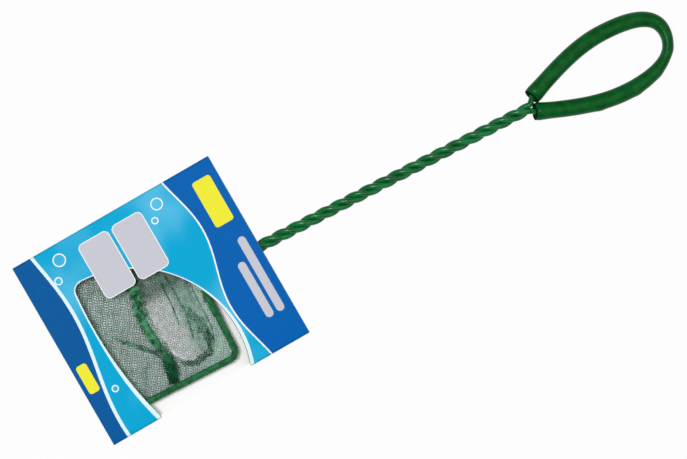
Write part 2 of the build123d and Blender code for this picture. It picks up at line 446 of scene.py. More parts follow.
def thread_material(name, dark, light, rough, graded=(), sheen=0.25, gloss=0.5):
    """Nylon thread, a little uneven in colour along its length.

    Each item of graded is an axis, two places on it and the dark and light colours it turns to.
    """
    material, tree, shader = new_material(name)
    mottle = grain(tree, THREAD_MOTTLE_SCALE).step(*THREAD_MOTTLE_RANGE)
    colour = mix(tree, mottle, dark, light)
    for axis, start, end, far_dark, far_light in graded:
        place = tree.nodes.new("ShaderNodeTexCoord")
        split = tree.nodes.new("ShaderNodeSeparateXYZ")
        tree.links.new(place.outputs["Object"], split.inputs["Vector"])
        share = Field(tree, split.outputs[axis]).step(start * MM, end * MM)
        colour = mix(tree, share, colour, mix(tree, mottle, far_dark, far_light))
    tree.links.new(colour, shader.inputs["Base Color"])
    rough_grain = grain(tree, THREAD_ROUGH_SCALE)
    finish_range(tree, shader, rough_grain, rough - ROUGH_SPREAD, rough + ROUGH_SPREAD)
    shader.inputs["Sheen Weight"].default_value = sheen
    shader.inputs["Specular IOR Level"].default_value = gloss
    bump(tree, shader, grain(tree, THREAD_FIBRE_SCALE), THREAD_FIBRE_DEPTH)
    return material


# Changes of colour along the netting
to_fresh = ("X", -8.0, 14.0, srgb(74, 146, 122), srgb(126, 190, 166))
# Painted crease shade on the fold threads: deepest below y -32, lighter by y -12
to_less_fold_shade = ("Y", -32.0, -12.0, srgb(8, 84, 44), srgb(92, 172, 124))
to_green = ("X", 2.0, 7.0, srgb(116, 160, 144), srgb(178, 206, 194))
# Painted shade: the pouch darkens from y -3 to 3.6 towards +Y, where the card tabs shadow it
to_tab_shade = ("Y", -3.0, 3.6, srgb(52, 82, 66), srgb(106, 136, 120))

wire_coat = coat_material("wire_coat", srgb(0, 88, 38), srgb(4, 114, 54), (0.2, 0.3), gloss=0.36)
# The bore and rims are darker than the skin: painted shade inside the tube
tube_inside_shaded = coat_material("tube_inside_shaded", srgb(0, 50, 16), srgb(4, 66, 24), (0.8, 0.95), gloss=0.0)
tube_skin = coat_material("tube_skin", srgb(0, 78, 24), srgb(5, 92, 34), (0.24, 0.34), gloss=0.13)
net_thread = thread_material(
    "net_thread", srgb(28, 100, 82), srgb(70, 138, 122), rough=0.55, graded=[to_fresh],
)
# Threads of the folds and seam gathers, darker than the net's own thread: painted crease shade
fold_shade_thread = thread_material(
    "fold_shade_thread", srgb(0, 54, 26), srgb(10, 86, 48), rough=0.6, graded=[to_less_fold_shade], sheen=0.0, gloss=0.1,
)
# The pouch's upper end is darkened by painted tab shade
pouch_thread = thread_material(
    "pouch_thread", srgb(214, 218, 220), srgb(250, 250, 252), rough=0.55, graded=[to_green, to_tab_shade],
)
hem_cloth = thread_material(
    "hem_cloth", srgb(4, 82, 38), srgb(22, 118, 64), rough=0.6, sheen=0.1, gloss=0.25,
)
seam_thread = thread_material("seam_thread", srgb(4, 54, 24), srgb(12, 76, 36), rough=0.6)


def card_white_material():
    """The bare side and cut edges of the card."""
    material, tree, shader = new_material("card_white")
    fibre = grain(tree, CARD_FIBRE_SCALE, CARD_FIBRE_DETAIL)
    colour = mix(tree, fibre, CARD_PALE, CARD_BARE)
    tree.links.new(colour, shader.inputs["Base Color"])
    finish_range(tree, shader, fibre, *CARD_ROUGH)
    bump(tree, shader, fibre, CARD_FIBRE_DEPTH)
    return material


# Card and print: the colours, and the shapes on the flat sheet
CARD_PALE = srgb(246, 247, 244)
CARD_BARE = srgb(254, 254, 253)
NAVY = srgb(0, 96, 176)
NAVY_DEEP = srgb(0, 88, 155)
CYAN = srgb(0, 165, 211)
CYAN_LIGHT = srgb(96, 196, 232)
PANEL_GREY = srgb(198, 199, 208)
YELLOW = srgb(238, 232, 56)
WHITE = srgb(248, 249, 250)
RIM_WHITE = srgb(222, 244, 250)
# Partly a printed edge line, partly painted shadow along the window's head cut
RIM_SHADE_GREY = srgb(96, 92, 100)
EDGE = 0.12
GLOW_SCALE = 26.0
GLOW_DETAIL = 2.0
GLOW_RANGE = (0.46, 0.78)
HEAD_WAVE_X = 29.0
HEAD_WAVE_RISE = 3.2
HEAD_WAVE_RATE = 0.085
HEAD_LINE_HALF = 0.35
FOOT_WAVE_X = 40.0
FOOT_WAVE_RISE = 3.0
FOOT_WAVE_RATE = 0.06
FOOT_WAVE_START = 0.7
FOOT_LINE_HALF = 0.8
RIM_RANGE = (-38.0, 8.0)
RIM_LINE_HALF = 0.25
PANEL_LINE = 0.35
BUBBLES = [
    (20.0, 38.5, 2.6), (15.6, 32.4, 1.4), (-30.5, 38.5, 2.8), (-35.5, 30.5, 1.6), (-37.5, -24.0, 1.4),
]
LABELS = [(42.5, 27.0, 4.6, 11.5), (-46.0, -14.0, 2.6, 7.0)]
BARS = [(45.0, -12.0, 19.0), (39.4, -17.0, 14.0)]
BAR_HALF = 1.9
BUBBLE_TINT = 0.35
BUBBLE_LINE_HALF = 0.25
LABEL_CORNER = 1.4
PRINT_ROUGH_SCALE = 500.0
PRINT_ROUGH = (0.42, 0.56)
PRINT_GLOSS = 0.04
PRINT_FIBRE_SCALE = 160.0
PRINT_FIBRE_DETAIL = 4.0
PRINT_FIBRE_DEPTH = 0.05


def print_material():
    """The sleeve's printed outside: plain bands, bubbles and blank panels, with a dark line of painted
    shadow along the window's head cut.
    """
    material, tree, shader = new_material("card_print")
    uv = tree.nodes.new("ShaderNodeUVMap")
    uv.uv_map = "print"
    split = tree.nodes.new("ShaderNodeSeparateXYZ")
    tree.links.new(uv.outputs["UV"], split.inputs["Vector"])
    x = Field(tree, split.outputs["X"])
    y = Field(tree, split.outputs["Y"])
    glow = grain(tree, GLOW_SCALE, GLOW_DETAIL).step(*GLOW_RANGE)
    colour = mix(tree, glow, CYAN, CYAN_LIGHT)

    def paint(mask, new_colour):
        nonlocal colour
        colour = mix(tree, mask, colour, new_colour)

    def inside(edge_distance):
        return (edge_distance * -1).step(-EDGE, EDGE)

    def circle(cx, cy, radius):
        return (x - cx).distance(y - cy) - radius

    def panel(cx, cy, half_x, half_y, corner):
        over_x = (x - cx).math("ABSOLUTE") - (half_x - corner)
        over_y = (y - cy).math("ABSOLUTE") - (half_y - corner)
        return over_x.math("MAXIMUM", 0.0).distance(over_y.math("MAXIMUM", 0.0)) - corner

    head_wave = x - ((y * HEAD_WAVE_RATE).math("SINE") * HEAD_WAVE_RISE + HEAD_WAVE_X)
    foot_swing = (y * FOOT_WAVE_RATE + FOOT_WAVE_START).math("SINE")
    foot_wave = (foot_swing * FOOT_WAVE_RISE - FOOT_WAVE_X) - x
    for cx, cy, radius in BUBBLES:
        ring = circle(cx, cy, radius)
        paint(inside(ring) * BUBBLE_TINT, CYAN_LIGHT)
        paint(inside(ring.math("ABSOLUTE") - BUBBLE_LINE_HALF), WHITE)
    paint(inside(head_wave * -1), NAVY)
    paint(inside(head_wave.math("ABSOLUTE") - HEAD_LINE_HALF), WHITE)
    paint(inside(foot_wave * -1), NAVY_DEEP)
    paint(inside(foot_wave.math("ABSOLUTE") - FOOT_LINE_HALF), RIM_WHITE)
    head = circle(WINDOW_X, WINDOW_Y, WINDOW_R)
    foot = circle(FOOT_X, FOOT_Y, FOOT_R)
    over_head = (head + WINDOW_CORNER_R).math("MAXIMUM", 0.0)
    over_foot = (foot + WINDOW_CORNER_R).math("MAXIMUM", 0.0)
    window = over_head.distance(over_foot) - WINDOW_CORNER_R
    rim_width = y.step(*RIM_RANGE) * -RIM_GROWTH + (WINDOW_RIM + RIM_GROWTH)
    paint(inside(window - rim_width), RIM_WHITE)
    # A dark line along the head cut: partly a printed edge line, partly painted shadow of the card's cut
    # edge
    rim_shade_line = inside(head.math("ABSOLUTE") - RIM_LINE_HALF)
    paint(rim_shade_line * inside(foot + WINDOW_CORNER_R), RIM_SHADE_GREY)
    panel_half = (TAB_PRINT_TOP_Y - TAB_END_Y) / 2
    for cx in TAB_MIDDLES:
        shape = panel(cx, TAB_END_Y + panel_half, TAB_HALF, panel_half, TAB_R)
        paint(inside(shape), WHITE)
        paint(inside(shape + PANEL_LINE), PANEL_GREY)
    for cx, cy, half_x, half_y in LABELS:
        paint(inside(panel(cx, cy, half_x, half_y, LABEL_CORNER)), YELLOW)
    for cx, cy, half_y in BARS:
        paint(inside(panel(cx, cy, BAR_HALF, half_y, BAR_HALF)), PANEL_GREY)
    tree.links.new(colour, shader.inputs["Base Color"])
    finish_range(tree, shader, grain(tree, PRINT_ROUGH_SCALE), *PRINT_ROUGH)
    shader.inputs["Specular IOR Level"].default_value = PRINT_GLOSS
    bump(tree, shader, grain(tree, PRINT_FIBRE_SCALE, PRINT_FIBRE_DETAIL), PRINT_FIBRE_DEPTH)
    return material


card_print = print_material()
card_white = card_white_material()
flap_print = coat_material("flap_print", NAVY_DEEP, NAVY, (0.3, 0.42), gloss=0.5)


# Wire
def twist_station(turns, base_angle):
    """A point of a handle strand and its direction, counted in turns from the hoop."""
    angle = math.radians(base_angle) + math.tau * turns
    girth = math.tau * TWIST_R
    point = Vector((
        SHANK_START_X + LAY * turns,
        TWIST_R * math.cos(angle),
        AXIS_Z + TWIST_R * math.sin(angle),
    ))
    direction = Vector((LAY, -girth * math.sin(angle), girth * math.cos(angle)))
    return point, direction.normalized()


def backwards(stop):
    """The same station, passed the other way."""
    point, direction = stop
    return point, -direction


def hoop_stations(leg_y):
    """The hoop's route from its right leg round to its left leg."""
    half = HOOP_WIDTH / 2
    return [
        station(HOOP_NEAR_X, -leg_y, -90),
        station(HOOP_NEAR_X, HOOP_NEAR_R - half, -90),
        station(HOOP_NEAR_X - HOOP_NEAR_R, -half, 180),
        station(HOOP_FAR_X + HOOP_FAR_R, -half, 180),
        station(HOOP_FAR_X, HOOP_FAR_R - half, 90),
        station(HOOP_FAR_X, half - HOOP_FAR_R, 90),
        station(HOOP_FAR_X + HOOP_FAR_R, half, 0),
        station(HOOP_NEAR_X - HOOP_NEAR_R, half, 0),
        station(HOOP_NEAR_X, half - HOOP_NEAR_R, -90),
        station(HOOP_NEAR_X, leg_y, -90),
    ]


def grip_stations():
    """The grip loop's route from the upper end of its tube round to the lower end."""
    return [
        station(NECK_X + NECK_LENGTH, NECK_MIDDLE_Y + TUBE_END_Y, ARM_ANGLE),
        station(NECK_X + UPPER_SHOULDER_X, UPPER_SHOULDER_Y, 0),
        station(NECK_X + LOOP_END_X, LOOP_END_Y, -90),
        station(NECK_X + LOWER_SHOULDER_X, LOWER_SHOULDER_Y, 180),
        station(NECK_X + LOWER_NECK_LENGTH, NECK_MIDDLE_Y - TUBE_END_Y, 180 - ARM_ANGLE),
    ]


def strand_points(base_angle, first_turn=0.0):
    """Points along a handle strand from the hoop to the neck."""
    count = round((TURNS - first_turn) * STEPS_PER_TURN)
    return [twist_station(first_turn + i / STEPS_PER_TURN, base_angle)[0] for i in range(count + 1)]


def wire_piece(name, node, points, cut_at=None):
    """A length of the coated wire; cut_at is the index of a bevelled cut end."""
    def radius(i, angle):
        in_hem = node == "hoop_wire" and abs(points[i].y) >= HEM_START_Y
        full = WIRE_R if in_hem else STRAND_R
        return full - CUT_BEVEL if i == cut_at else full

    piece = swept_piece(name, [points], radius, WIRE_SIDES, wire_coat)
    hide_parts(node)


right_start = twist_station(0, BASE_ANGLE_RIGHT)
left_start = twist_station(0, BASE_ANGLE_LEFT)
right_end = twist_station(TURNS, BASE_ANGLE_RIGHT)
return_end = twist_station(TURNS, BASE_ANGLE_RETURN)
hoop_line = smooth_line([backwards(right_start)] + hoop_stations(LEG_Y) + [left_start], HOOP_STEPS)
loop_line = smooth_line([right_end] + grip_stations() + [backwards(return_end)], LOOP_STEPS)

left_line = strand_points(BASE_ANGLE_LEFT)
return_line = strand_points(BASE_ANGLE_RETURN, RETURN_SKIPPED_TURNS)
wire_piece("wire_strand_right", "shank_strand_right", strand_points(BASE_ANGLE_RIGHT))
wire_piece("wire_strand_left", "shank_strand_left", left_line, len(left_line) - 1)
wire_piece("wire_strand_return", "shank_strand_return", return_line, 0)
wire_piece("wire_hoop", "hoop_wire", hoop_line)
wire_piece("wire_grip_core", "loop_wire", loop_line)


# Grip tube
def grip_tube_piece():
    """A soft tube, squeezed where it bends most, with open rims round the wire."""
    stops = grip_stations()
    line = smooth_line(stops, TUBE_STEPS)
    line = [line[0] - stops[0][1] * UPPER_SLIP] + line + [line[-1] + stops[-1][1] * LOWER_SLIP]
    rings = len(line)
    last = rings - 1
    frames = cross_frames(line)
    tangents = directions(line)
    run = [0.0]
    for a, b in zip(line, line[1:]):
        run.append(run[-1] + (b - a).length)

    def squeeze(point):
        away = math.hypot(point.x - BEND_X, point.y - BEND_Y) / BEND_REACH
        return 1 - BEND_SQUEEZE * math.exp(-away * away)

    def kink_rise(spot):
        near = [math.hypot(spot.x - x, spot.y - y) / KINK_REACH for x, y in KINKS]
        return KINK_RISE * sum(math.exp(-away * away) for away in near)

    def near_ends(i):
        """How near a ring is to the tube's start and to its end, each from 0 to 1."""
        return max(0.0, 1 - run[i] / END_REACH), max(0.0, 1 - (run[-1] - run[i]) / END_REACH)

    def slant(i, spot):
        """How far a point moves along the tube, so that both ends are cut at a slant."""
        rise = (spot.z - AXIS_Z + TUBE_R) / (2 * TUBE_R)
        near_start, near_end = near_ends(i)
        return END_SLANT * rise * (near_start - near_end)

    def outside_reach(i):
        """The outside's radius at a ring: less at the rounded rims, and flared towards them."""
        reach = TUBE_R * (1 + TUBE_WAVE * noise.noise(line[i] * TUBE_WAVE_SCALE))
        if i in (0, last):
            reach = TUBE_R - TUBE_RIM_R
        return reach + END_FLARE * sum(near_ends(i))

    def ring_points(i, narrow, reach, rise):
        """Points of one ring; rise(spot) is how far a point stands out further."""
        side, up = frames[i]
        points = []
        for k in range(TUBE_SIDES):
            angle = math.tau * k / TUBE_SIDES
            spread = side * math.cos(angle) * narrow + up * math.sin(angle)
            spot = line[i] + spread * reach
            spot += spread * rise(spot)
            spot += tangents[i] * slant(i, spot)
            spot.z = max(TUBE_REST_Z, spot.z)
            points.append(spot)
        return points

    vertices = []
    for i in range(rings):
        vertices += ring_points(i, squeeze(line[i]), outside_reach(i), kink_rise)
    for i in range(rings):
        vertices += ring_points(i, 1.0, TUBE_BORE_R, lambda spot: 0.0)
    outside = ring_faces(0, rings, TUBE_SIDES)
    inside = [face[::-1] for face in ring_faces(rings * TUBE_SIDES, rings, TUBE_SIDES)]
    for i, flip in ((0, False), (last, True)):
        for k in range(TUBE_SIDES):
            beside = (k + 1) % TUBE_SIDES
            out = i * TUBE_SIDES
            bore = (rings + i) * TUBE_SIDES
            rim = (out + beside, out + k, bore + k, bore + beside)
            inside.append(rim[::-1] if flip else rim)
    # The second colour, on the bore and rims, is painted shade
    skins = [tube_skin, tube_inside_shaded]
    piece = new_piece("grip_tube_soft", vertices, outside + inside, "net", skins)
    piece.data.polygons.foreach_set("material_index", [0] * len(outside) + [1] * len(inside))
    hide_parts("grip_tube")


grip_tube_piece()


# Hem
def even_points(points, step):
    """Points at an even step along a line."""
    found = [points[0].copy()]
    left = step
    for a, b in zip(points, points[1:]):
        span = (b - a).length
        done = 0.0
        while span - done >= left:
            done += left
            found.append(a + (b - a) * (done / span))
            left = step
        left -= span - done
    return found


hem_line = even_points(smooth_line(hoop_stations(HEM_START_Y), HEM_BEND_STEPS), HEM_STEP)
hem_last = len(hem_line) - 1


def hem_piece():
    """The gathered hem round the hoop wire."""
    def radius(i, angle):
        if i in (0, hem_last):
            return WIRE_R + HEM_END_WALL
        around = Vector((math.cos(angle), math.sin(angle), i * HEM_STEP * RUFFLE_DRAW))
        gather = noise.noise(around * RUFFLE_SCALE)
        pucker = math.sin(i * HEM_STEP * math.tau / STITCH_PITCH + PUCKER_LEAN * math.sin(angle))
        from_groove = (math.degrees(angle) - GROOVE_ANGLE) / GROOVE_SPREAD
        groove = HEM_GROOVE * math.exp(-from_groove * from_groove)
        return HEM_R + HEM_RUFFLE * (RUFFLE_SHARE * gather + PUCKER_SHARE * pucker) - groove

    piece = swept_piece("hem_cloth", [hem_line], radius, HEM_SIDES, hem_cloth)
    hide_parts("hem_binding")
    return piece


def stitch_piece():
    """The thread that closes the hem, one short loop for each stitch."""
    loops = []
    frames = cross_frames(hem_line)
    count = int(hem_last * HEM_STEP / STITCH_PITCH)
    for n in range(1, count):
        i = round(n * STITCH_PITCH / HEM_STEP)
        loop = []
        for k in range(STITCH_POINTS):
            share = k / (STITCH_POINTS - 1)
            j = min(hem_last, i + round(share * STITCH_SPAN / HEM_STEP))
            side, up = frames[j]
            wander = STITCH_WANDER * noise.noise(Vector((n * STITCH_CHANGE, share, 0)))
            angle = math.radians(GROOVE_ANGLE) + wander
            reach = HEM_R - HEM_GROOVE + STITCH_R * math.sin(math.pi * share)
            loop.append(hem_line[j] + (side * math.cos(angle) + up * math.sin(angle)) * reach)
        loops.append(loop)
    return swept_piece("hem_stitches", loops, lambda i, angle: STITCH_R, STITCH_SIDES, seam_thread)


hem = hem_piece()
stitches = stitch_piece()


# Netting
class Pleat:
    """A fold of the netting along a line, deepest in its middle."""

    def __init__(self, start, end, take_up, soft, height):
        self.start = Vector(start)
        self.run = Vector(end) - self.start
        self.normal = Vector((-self.run.y, self.run.x)).normalized()
        self.take_up = take_up
        self.soft = soft
        self.height = height

    def shift(self, spot):
        """How a point of the flat netting moves, and how far it rises."""
        offset = spot - self.start
        share = offset.dot(self.run) / self.run.length_squared
        away = offset.dot(self.normal)
        if share <= 0 or share >= 1:
            return Vector((0, 0)), 0.0
        strength = math.sin(math.pi * share) ** PLEAT_FADE
        local = math.exp(-((away / (PLEAT_REACH * self.soft)) ** 2))
        move = -self.take_up * strength * math.tanh(away / self.soft) * local
        rise = self.height * strength * math.exp(-((away / (PLEAT_CREST * self.soft)) ** 2))
        return self.normal * move, rise


def lattice_threads(half_u, half_v, inside, place, pitch=MESH_PITCH, turn=0):
    """Both thread directions of a diamond mesh, cut to a region and placed in space."""
    step = pitch / math.sqrt(2)
    cosine = math.cos(math.radians(turn))
    sine = math.sin(math.radians(turn))
    reach = int((half_u + half_v) / step) + 1
    threads = []
    for family in (0, 1):
        for fixed in range(-reach, reach + 1):
            run = []
            for moving in range(-reach, reach + 1):
                i, j = (moving, fixed) if family == 0 else (fixed, moving)
                u = ((i + j) * cosine - (i - j) * sine) * step
                v = ((i + j) * sine + (i - j) * cosine) * step
                if abs(u) <= half_u and abs(v) <= half_v and inside(u, v):
                    fine = Vector((u * JITTER_SCALE, v * JITTER_SCALE, pitch))
                    broad = Vector((u * SWAY_SCALE, v * SWAY_SCALE, pitch))
                    sway = noise.noise_vector(fine) * MESH_JITTER
                    sway += noise.noise_vector(broad) * MESH_SWAY
                    over = OVER_SHARE * THREAD_R * (1 if (i + j + family) % 2 else -1)
                    run.append(place(u + sway.x, v + sway.y) + Vector((0, 0, over)))
                else:
                    threads.append(run)
                    run = []
            threads.append(run)
    return [run for run in threads if len(run) >= SHORTEST_RUN]


def net_piece(name, threads, thread_r, material):
    """All the threads of a net."""
    return swept_piece(name, threads, lambda i, angle: thread_r, THREAD_SIDES, material)


def curve_through(places):
    """Points on a smooth flat curve through a few places."""
    spots = [Vector(place) for place in places]
    spots = [spots[0] * 2 - spots[1]] + spots + [spots[-1] * 2 - spots[-2]]
    points = []
    for p0, p1, p2, p3 in zip(spots, spots[1:], spots[2:], spots[3:]):
        for i in range(CURVE_STEPS):
            t = i / CURVE_STEPS
            square = p0 * 2 - p1 * 5 + p2 * 4 - p3
            cube = p1 * 3 - p0 - p2 * 3 + p3
            points.append((p1 * 2 + (p2 - p0) * t + square * t**2 + cube * t**3) * 0.5)
    points.append(spots[-2])
    return points


def gathered_threads(places, flat_width, width, level, height, tip):
    """Netting of a flat width drawn together along a curve; level(spot) is the height it lies on.

    Its middle stands higher by height, and its ends narrow to a share of the width, the tip.
    """
    line = even_points(curve_through(places), GATHER_STEP)
    tangents = directions(line)
    length = GATHER_STEP * (len(line) - 1)

    def ends(u):
        share = min(1.0, max(0.0, u / length + 0.5))
        return tip + (1 - tip) * math.sin(math.pi * share) ** END_FADE

    def within(u, v):
        ragged = 1 + RAGGED * noise.noise(Vector((u * RAGGED_SCALE, v, RAGGED_LAYER)))
        return abs(v) <= flat_width / 2 * ends(u) * ragged

    def place(u, v):
        i = min(len(line) - 1, max(0, round((u + length / 2) / GATHER_STEP)))
        slack = u + length / 2 - i * GATHER_STEP
        share = 2 * v / flat_width
        ripple = RIPPLE * noise.noise(Vector((u * RIPPLE_ALONG, v * RIPPLE_ACROSS, flat_width)))
        wander = WANDER * noise.noise(Vector((u * WANDER_SCALE, WANDER_LAYER, width)))
        across = share * width / 2 * (1 + ripple) + wander
        normal = Vector((-tangents[i].y, tangents[i].x))
        spot = line[i] + tangents[i] * slack + normal * across
        rough = CREST * noise.noise(Vector((u * CREST_ALONG, v * CREST_ACROSS, CREST_LAYER)))
        crest = height * (1 - share * share) + rough
        return Vector((spot.x, spot.y, level(spot) + max(0.0, crest)))

    return lattice_threads(length / 2, flat_width * GATHER_ROOM, within, place)


BACK_PLEATS = [
    Pleat((15.5, 24.0), (12.5, -30.0), take_up=1.8, soft=0.9, height=0.6),
    Pleat((-26.0, -36.0), (-18.0, -22.0), take_up=0.9, soft=1.4, height=0.5),
]
NET_MIDDLE_X = (HOOP_NEAR_X + HOOP_FAR_X) / 2


def in_hoop(u, v):
    """True inside the hoop's outline, a little short of the wire's middle."""
    over_u = abs(u) - (HOOP_DEPTH / 2 - HOOP_NEAR_R)
    over_v = abs(v) - (HOOP_WIDTH / 2 - HOOP_NEAR_R)
    if over_u > 0 and over_v > 0:
        return math.hypot(over_u, over_v) < HOOP_NEAR_R - NET_EDGE_IN
    return max(over_u, over_v) < HOOP_NEAR_R - NET_EDGE_IN


def place_back(u, v):
    """Where a point of the layer that spans the hoop lies."""
    spot = Vector((NET_MIDDLE_X + u, v))
    moved = spot.copy()
    wave = noise.noise(Vector((u * BACK_WAVE_SCALE, v * BACK_WAVE_SCALE, 0)))
    height = BACK_NET_Z + BACK_WAVE * wave
    for pleat in BACK_PLEATS:
        shift, rise = pleat.shift(spot)
        moved += shift
        height += rise
    edge = min(HOOP_DEPTH / 2 - abs(u), HOOP_WIDTH / 2 - abs(v))
    rise_to_hem = HEM_RISE * math.exp(-edge / HEM_RISE_REACH)
    return Vector((moved.x, moved.y, max(LOWEST_NET_Z, height + rise_to_hem)))


def place_under(u, v):
    """Where a point of the lower layer lies."""
    spot = place_back(u, v)
    return Vector((spot.x, spot.y, max(LOWEST_NET_Z, spot.z - UNDER_DROP)))


def back_level(spot):
    """Just above the layer that spans the hoop."""
    return BACK_NET_Z + BACK_CLEAR


back_threads = lattice_threads(HOOP_DEPTH / 2, HOOP_WIDTH / 2, in_hoop, place_back, BACK_PITCH)
back_threads += lattice_threads(
    HOOP_DEPTH / 2, HOOP_WIDTH / 2, in_hoop, place_under, BACK_PITCH, UNDER_TURN
)
back = net_piece("netting_back", back_threads, BACK_THREAD_R, net_thread)
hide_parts("net_back")

# Pouch: a flattened bag that lies along the hoop's width, round at both ends
POUCH_HALF_LENGTH = 33.5
POUCH_HALF_WIDTH = 12.6
POUCH_HEIGHT = 2.2
POUCH_BASE_Z = 2.35
POUCH_X = 2.0
POUCH_WRAP = 17.5
POUCH_TURN = 36
POUCH_PITCH = 0.88
POUCH_THREAD_R = 0.158
POUCH_BOW = 1.5
POUCH_LEAN = 0.8
POUCH_ROUNDNESS = 3.2
POUCH_LAST_SHARE = 0.995
POUCH_END_HEIGHT = 0.25
POUCH_CLEAR = 0.3
POUCH_SWELL = 0.04
SWELL_RATE = 0.16
POUCH_SKEW = 0.8
SKEW_RATE = 0.12
WRAP_ANGLE = 118
TUCK_DEPTH = 0.2


def pouch_middle(u):
    """The pouch's middle across the hoop's depth, along its length."""
    share = u / POUCH_HALF_LENGTH
    return POUCH_X + POUCH_BOW * share * share - POUCH_LEAN * share


def pouch_taper(u):
    """How much of its full girth the pouch has, along its length."""
    share = min(POUCH_LAST_SHARE, abs(u) / POUCH_HALF_LENGTH)
    return (1 - share**POUCH_ROUNDNESS) ** 0.5


def pouch_height(taper):
    """The pouch's height where it has a share of its girth."""
    return POUCH_HEIGHT * (POUCH_END_HEIGHT + (1 - POUCH_END_HEIGHT) * taper)


def in_pouch(u, v):
    """True inside the oval that the pouch is cut to."""
    return abs(v) <= POUCH_WRAP * pouch_taper(u)


def pouch_level(spot):
    """Just above the pouch's upper layer."""
    taper = pouch_taper(spot.y)
    aside_share = (spot.x - pouch_middle(spot.y)) / (POUCH_HALF_WIDTH * taper)
    crown = math.sqrt(max(0.0, 1 - aside_share * aside_share))
    return POUCH_BASE_Z + POUCH_CLEAR + pouch_height(taper) * crown


def place_pouch(u, v):
    """Where a point of the pouch lies: u runs along it and v round it."""
    taper = pouch_taper(u)
    round_angle = v / (POUCH_WRAP * taper) * math.radians(WRAP_ANGLE)
    swell = 1 + POUCH_SWELL * math.sin(u * SWELL_RATE)
    x = pouch_middle(u) + POUCH_HALF_WIDTH * taper * math.sin(round_angle) * swell
    z = POUCH_BASE_Z + pouch_height(taper) * max(-TUCK_DEPTH, math.cos(round_angle))
    y = u - POUCH_SKEW * math.sin(v * SKEW_RATE)
    return Vector((x, y, z))


# Folds and seam of the bag, in its own plane; what the card covers is guessed
DIAGONAL_FOLD = [(-29.0, -5.0), (-22.3, -11.6), (-17.4, -16.7), (-13.6, -21.8), (-9.6, -27.6)]
INNER_LONG_FOLD = [(3.2, 20.0), (3.4, 7.2), (3.3, -3.7), (2.6, -12.0), (1.0, -21.0)]
OUTER_LONG_FOLD = [(6.2, 20.0), (6.8, 5.0), (7.2, -4.8), (7.0, -13.1), (5.4, -22.6), (5.2, -31.0)]
END_FOLD = [(-6.4, -27.6), (-2.2, -32.0), (4.0, -33.0), (9.6, -30.6), (12.6, -25.4), (12.8, -19.0)]
HEM_GATHER = [(17.5, -3.0), (17.6, -9.0), (17.7, -15.0), (18.1, -21.0)]
SIDE_FOLD = [(9.4, -8.0), (10.2, -17.0), (10.6, -23.5), (10.4, -31.0)]
FAR_END_FOLD = [(-3.0, 30.0), (1.0, 33.4), (6.4, 33.6), (11.0, 30.0), (13.2, 23.0)]
SEAM_LINE = [
    (-3.0, 36.5), (-4.8, 30.0), (-7.0, 22.0), (-9.0, 12.8), (-10.6, 2.8), (-11.8, -5.8), (-11.6, -13.8),
    (-10.2, -21.9), (-9.2, -29.0),
]
SEAM_EDGE_OFFSET = 2.8
SEAM_EDGE = [(x + SEAM_EDGE_OFFSET, y) for x, y in SEAM_LINE]
SEAM_TAIL = [(-9.6, -24.0), (-9.4, -28.6), (-10.8, -33.9), (-12.4, -38.0)]

# Gathers: line, flat width, drawn width, the layer below, height and tip
GATHERS = [
    (SEAM_LINE, 15.0, 4.6, pouch_level, 0.9, 0.4),
    (SEAM_EDGE, 3.2, 3.2, pouch_level, 0.3, 0.4),
    (INNER_LONG_FOLD, 2.4, 1.0, pouch_level, 0.3, 0.0),
    (OUTER_LONG_FOLD, 2.4, 1.0, pouch_level, 0.3, 0.0),
    (SEAM_TAIL, 32.0, 5.6, pouch_level, 0.8, 0.7),
    (DIAGONAL_FOLD, 3.6, 2.6, back_level, 0.5, 0.0),
    (END_FOLD, 4.6, 3.8, pouch_level, 0.4, 0.0),
    (SIDE_FOLD, 4.4, 4.6, pouch_level, 0.2, 0.0),
    (HEM_GATHER, 3.4, 1.5, back_level, 0.6, 0.0),
    (FAR_END_FOLD, 4.0, 3.0, pouch_level, 0.3, 0.0),
]

pouch_threads = lattice_threads(
    POUCH_HALF_LENGTH, POUCH_WRAP, in_pouch, place_pouch, POUCH_PITCH, POUCH_TURN
)
pouch = net_piece("netting_pouch", pouch_threads, POUCH_THREAD_R, pouch_thread)
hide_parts("net_pouch")

seam_threads = []
for gather in GATHERS:
    seam_threads += gathered_threads(*gather)
# The gathers' threads carry painted crease shade
seam = net_piece("netting_seam", seam_threads, THREAD_R, fold_shade_thread)


# Sleeve
FLAT_HALF = SLEEVE_WIDTH / 2 - FOLD_R
HALF_LENGTH = SLEEVE_LENGTH / 2
FOLD_ARC = FOLD_R * math.pi / 2
SPINE_WALL = SLEEVE_HEIGHT - 2 * FOLD_R
SPINE_LENGTH = 2 * FOLD_ARC + SPINE_WALL
SHEET_START = -FLAT_HALF - SPINE_LENGTH
SHEET_END = 3 * FLAT_HALF + SPINE_LENGTH


def arc(middle, radius, start, end, steps):
    """Points on an arc between two points of a circle, going the short way."""
    a0 = math.atan2(start[1] - middle[1], start[0] - middle[0])
    a1 = math.atan2(end[1] - middle[1], end[0] - middle[0])
    if a1 - a0 > math.pi:
        a1 -= math.tau
    if a0 - a1 > math.pi:
        a1 += math.tau
    angles = [a0 + (a1 - a0) * i / steps for i in range(steps + 1)]
    return [(middle[0] + radius * math.cos(a), middle[1] + radius * math.sin(a)) for a in angles]


def meeting_point(first, first_r, second, second_r):
    """The upper of the two points where a circle crosses one on its right."""
    gap = Vector(second) - Vector(first)
    reach = (first_r**2 - second_r**2 + gap.length_squared) / (2 * gap.length)
    rise = math.sqrt(first_r**2 - reach**2)
    way = gap.normalized()
    sideways = Vector((-way.y, way.x))
    return Vector(first) + way * reach + sideways * rise


